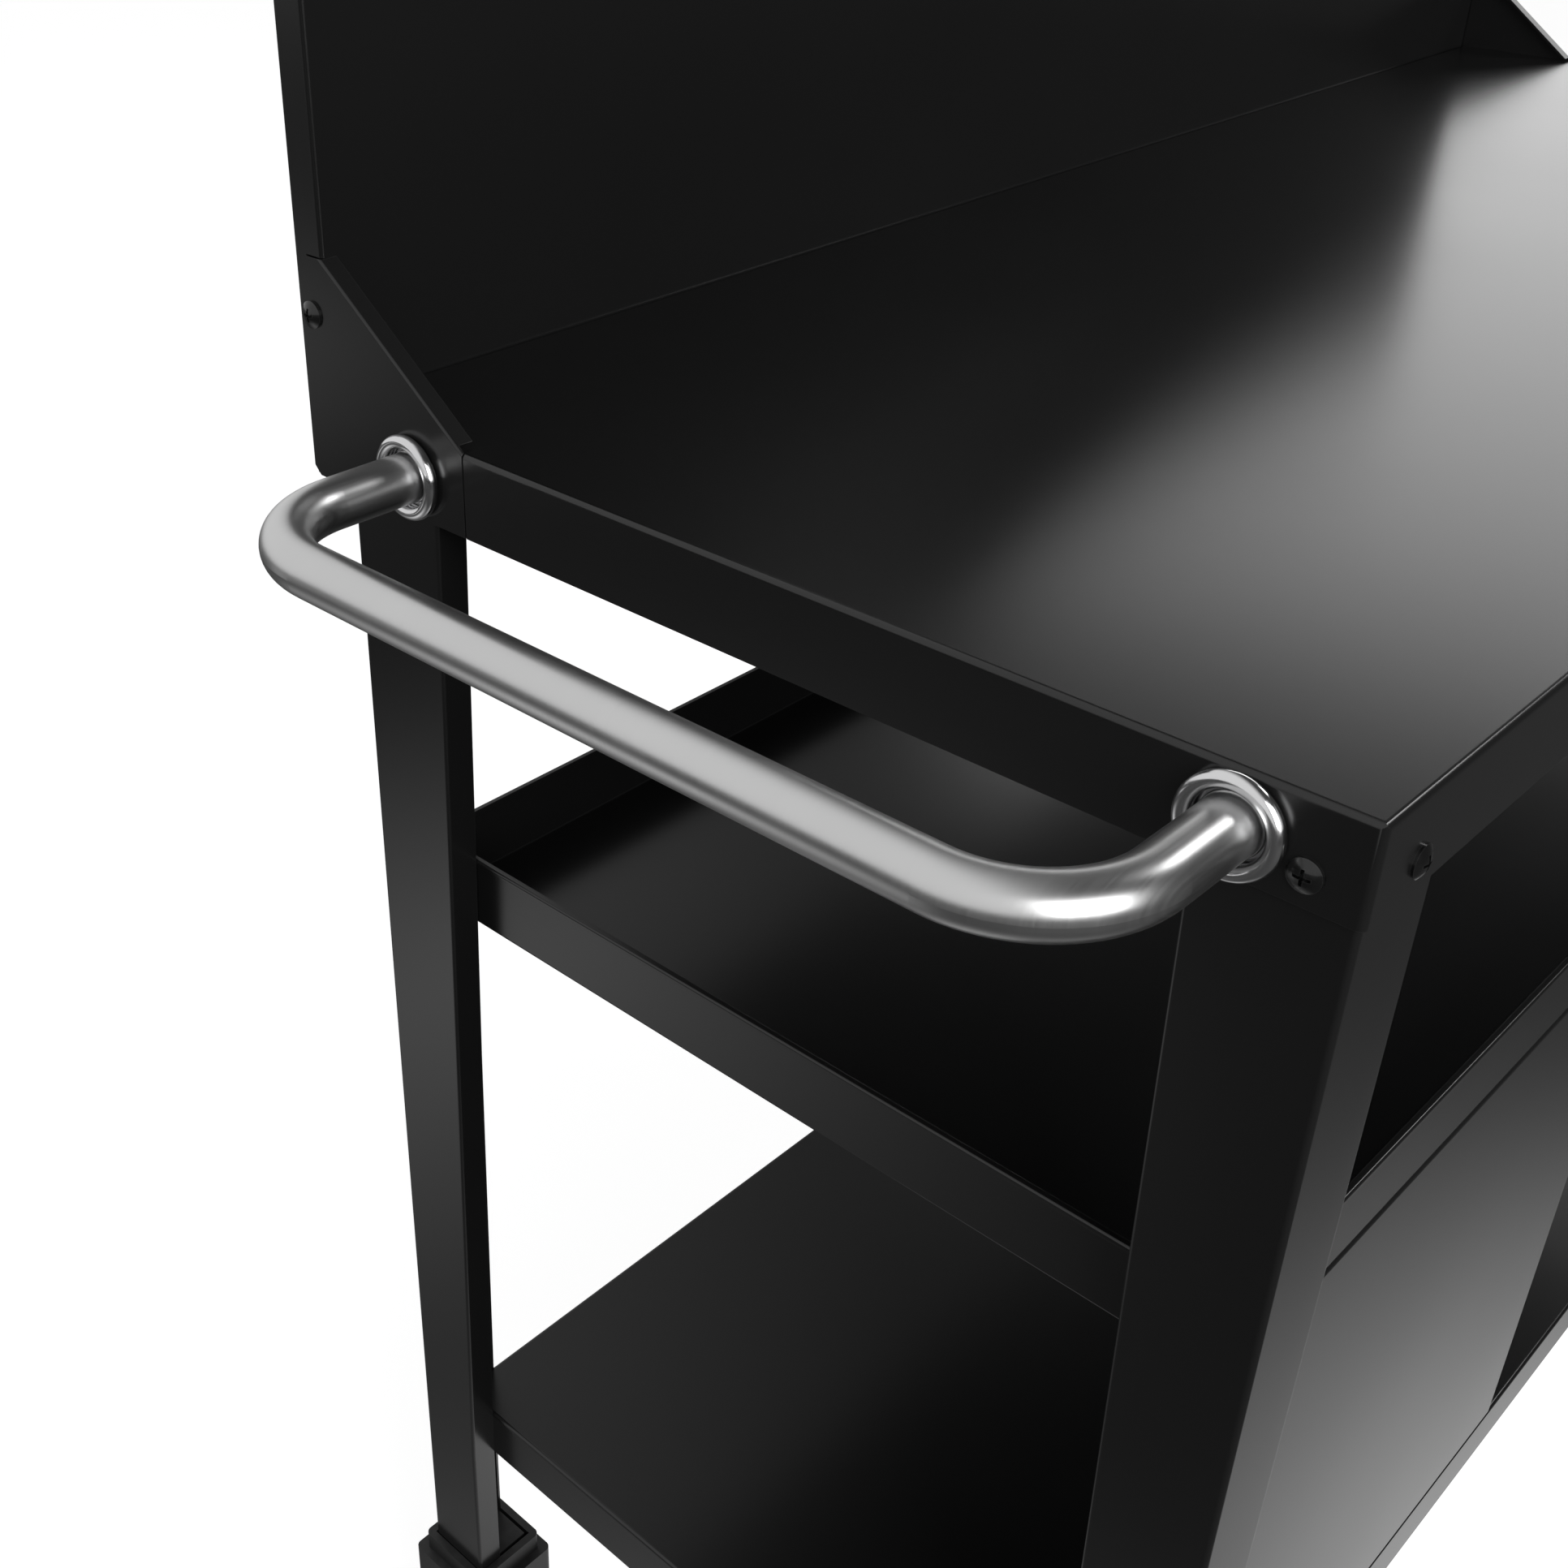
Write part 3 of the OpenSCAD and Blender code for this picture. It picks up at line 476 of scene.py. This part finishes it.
def on_slope(edge):
    """Tells whether an edge runs along a gusset's slope on the end plate's outer face."""
    first, second = (vert.co for vert in edge.verts)
    run = second - first
    outer = min(abs(first.x - top_low.x), abs(first.x - top_high.x)) < TOUCH
    return outer and abs(run.x) < TOUCH / 10 and abs(run.y) > SLOPE_RUN and abs(run.z) > SLOPE_RUN


soften_sheet("worktop", "worktop_sheet")
soften_sheet("back_panel", "backsplash_sheet")
for side in ("left", "right"):
    soften_sheet("end_plate_" + side, "end_sheet_" + side, on_slope, SLOPE_FOLD)

# %% [markdown]
# ## The chrome rings
#
# Where the handle meets the cart, a chrome ring covers the rough hole. It is one fat round bead
# that tucks in under itself at the rim, then a deep gap and a thin collar next to the tube. Its
# section is drawn once, as an outline of radius against height, and spun a full turn around
# the tube. The bead is an arc with small steps, because a mirror shows every facet.

# %% Ring
RING_REACH = 0.0077
BEAD_RADIUS = 0.0030
COLLAR_WALL = 0.0006
COLLAR_RISE = 0.0019
COLLAR_CHAMFER = 0.0003
GAP_FLOOR = 0.0005
RING_STEPS = 96
RING_CREASE = math.radians(40)


def ring_section(inner):
    """Points of the ring's section as (radius, height above the skirt), from rim to collar."""
    middle = inner + RING_REACH - BEAD_RADIUS
    turn = [math.radians(angle) for angle in range(-65, 246, 10)]
    bead = [(middle + BEAD_RADIUS * math.cos(a), BEAD_RADIUS * (1 + math.sin(a))) for a in turn]
    wall = inner + COLLAR_WALL
    floor_end = [(wall, GAP_FLOOR)]
    rounded = [(wall, COLLAR_RISE - COLLAR_CHAMFER), (wall - COLLAR_CHAMFER, COLLAR_RISE)]
    bore = [(inner, COLLAR_RISE), (inner, 0)]
    return bead + floor_end + rounded + bore


def make_ring(node):
    """Spins the section about the end of the tube that the node's box is centred on."""
    low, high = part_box(node)
    centre = Vector((high.x, (low.y + high.y) / 2, (low.z + high.z) / 2))
    tube_low, tube_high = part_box("handle_tube")
    tube_radius = (tube_high.z - tube_low.z) / 2
    work = bmesh.new()
    points = [Vector((-rise, radius, 0)) for radius, rise in ring_section(tube_radius)]
    corners = [work.verts.new(centre + point) for point in points]
    for first, second in zip(corners, corners[1:] + corners[:1]):
        work.edges.new((first, second))
    bmesh.ops.spin(work, geom=work.verts[:] + work.edges[:], cent=centre, axis=(1, 0, 0),
                   angle=math.tau, steps=RING_STEPS, use_merge=True)
    bmesh.ops.remove_doubles(work, verts=work.verts, dist=WELD)
    bmesh.ops.recalc_face_normals(work, faces=work.faces)
    mesh = bpy.data.meshes.new(node.replace("escutcheon", "ring"))
    mesh.materials.append(chrome)
    save_mesh(work, mesh, RING_CREASE)
    ring = place_piece(mesh, node)
    print(ring.name, "faces:", len(mesh.polygons))


for end in ("escutcheon_front", "escutcheon_rear"):
    make_ring(end)

# %% Tray, shelf and front panel
soften_sheet("upper_tray", "tray_sheet")
soften_sheet("lower_shelf", "shelf_sheet")
soften_sheet("front_panel", "panel_sheet")

# %% [markdown]
# ## The floor, the backdrop and the light
#
# The cart stands on a pale studio floor in front of white. The floor and the world are white
# to the eye, while the lamps stay at a plain level, so nothing on the cart burns out. Black
# satin steel shows mostly what it reflects, so the big soft lamps matter as shapes: each one
# is a soft band somewhere on the cart.

# %% Floor
def round_pool(tree, centre, reach):
    """A soft oval spot on the floor, 1 in its middle and 0 at its rim."""
    place = put(tree, "ShaderNodeTexCoord").outputs["Object"]
    moved = put(tree, "ShaderNodeVectorMath", {"operation": "SUBTRACT"}, _0=place, _1=(*centre, 0))
    shrunk = put(tree, "ShaderNodeVectorMath", {"operation": "DIVIDE"},
                 _0=moved.outputs[0], _1=(*reach, 1))
    spot = put(tree, "ShaderNodeTexGradient", {"gradient_type": "QUADRATIC_SPHERE"},
               Vector=shrunk.outputs[0])
    return spot.outputs["Fac"]


def make_floor_paint():
    """White to the eye, with pools of light around the cart that only its finishes mirror."""
    finish, tree, shader = new_finish("floor_paint", Roughness=0.8)
    seen, mirrored = ray_masks(tree)
    # In mirrors the floor is painted nearly black, and the pools below glow only in mirrors: a
    # painted reflection of a lit floor.
    tree.links.new(blend_tones(tree, mirrored, grey(0.42), grey(0.03)), shader.inputs["Base Color"])
    pool_light = 0.03
    for centre, reach, level in POOLS:
        pool = round_pool(tree, centre, reach)
        pool_light = maths(tree, "ADD", maths(tree, "MULTIPLY", pool, level), pool_light)
    strength = maths(tree, "ADD", maths(tree, "MULTIPLY", seen, 0.9),
                     maths(tree, "MULTIPLY", mirrored, pool_light))
    glow = put(tree, "ShaderNodeEmission", None, Color=grey(1), Strength=strength)
    both = put(tree, "ShaderNodeAddShader", None, _0=shader.outputs[0], _1=glow.outputs[0])
    output = next(n for n in tree.nodes if n.type == "OUTPUT_MATERIAL")
    tree.links.new(both.outputs[0], output.inputs["Surface"])
    return finish


def make_floor(radius=9.0):
    mesh = bpy.data.meshes.new("studio_floor")
    work = bmesh.new()
    bmesh.ops.create_circle(work, cap_ends=True, segments=64, radius=radius)
    work.to_mesh(mesh)
    work.free()
    mesh.materials.append(make_floor_paint())
    floor = bpy.data.objects.new("studio_floor", mesh)
    bpy.context.scene.collection.objects.link(floor)
    return floor


# Each pool: its centre, its reach along X and Y, and how bright it looks.
POOLS = [
    ((0.0, 0.0), (1.0, 0.68), 2.3),
    ((-1.1, 0.75), (0.8, 0.8), 0.9),
    ((-1.9, 2.6), (1.0, 1.0), 0.9),
]
studio_floor = make_floor()
print("floor faces:", len(studio_floor.data.polygons))

# %% World
def make_world(fill, left_wall, right_wall):
    """Even fill light, white to the eye, and mirrored as a bright wall at the back left."""
    world = bpy.data.worlds.new("studio")
    bpy.context.scene.world = world
    world.use_nodes = True
    tree = world.node_tree
    tree.nodes.clear()
    seen, mirrored = ray_masks(tree)
    towards = put(tree, "ShaderNodeTexCoord").outputs["Generated"]
    axes = put(tree, "ShaderNodeSeparateXYZ", None, Vector=towards).outputs
    side = maths(tree, "SUBTRACT", axes["Y"], axes["X"])
    wall = put(tree, "ShaderNodeMapRange", {"interpolation_type": "SMOOTHSTEP"}, Value=side,
               From_Min=-0.4, From_Max=0.5, To_Min=right_wall, To_Max=left_wall).outputs[0]
    lit = put(tree, "ShaderNodeMix", {"data_type": "FLOAT"}, _0=mirrored, _2=fill, _3=wall)
    shown = put(tree, "ShaderNodeMix", {"data_type": "FLOAT"},
                _0=seen, _2=lit.outputs[0], _3=1.0)
    sky = put(tree, "ShaderNodeBackground", None, Color=grey(1), Strength=shown.outputs[0])
    output = tree.nodes.new("ShaderNodeOutputWorld")
    tree.links.new(sky.outputs[0], output.inputs["Surface"])
    return world


studio = make_world(fill=0.13, left_wall=0.85, right_wall=0.05)
print("world:", studio.name)

# %% Lamps
def soft_lamp(name, place, aim, wide, tall, level):
    """A rectangular soft lamp that looks at a point. level is how bright its face looks."""
    light = bpy.data.lights.new(name, "AREA")
    light.shape = "RECTANGLE"
    light.size = wide
    light.size_y = tall
    light.energy = level * math.pi * wide * tall
    lamp = bpy.data.objects.new(name, light)
    bpy.context.scene.collection.objects.link(lamp)
    lamp.location = place
    lamp.rotation_euler = (Vector(aim) - Vector(place)).to_track_quat("-Z", "Y").to_euler()
    lamp.visible_camera = False


AIM = (0, 0, 0.8)
soft_lamp("lamp_front", (-1.1, -2.1, 1.7), AIM, 1.8, 1.6, 5.0)
soft_lamp("lamp_front_right", (2.0, -1.0, 2.8), AIM, 0.8, 0.6, 9.0)
soft_lamp("lamp_right", (4.2, 0.9, 2.0), AIM, 3.6, 2.2, 1.9)
bpy.context.scene.view_settings.view_transform = "Standard"
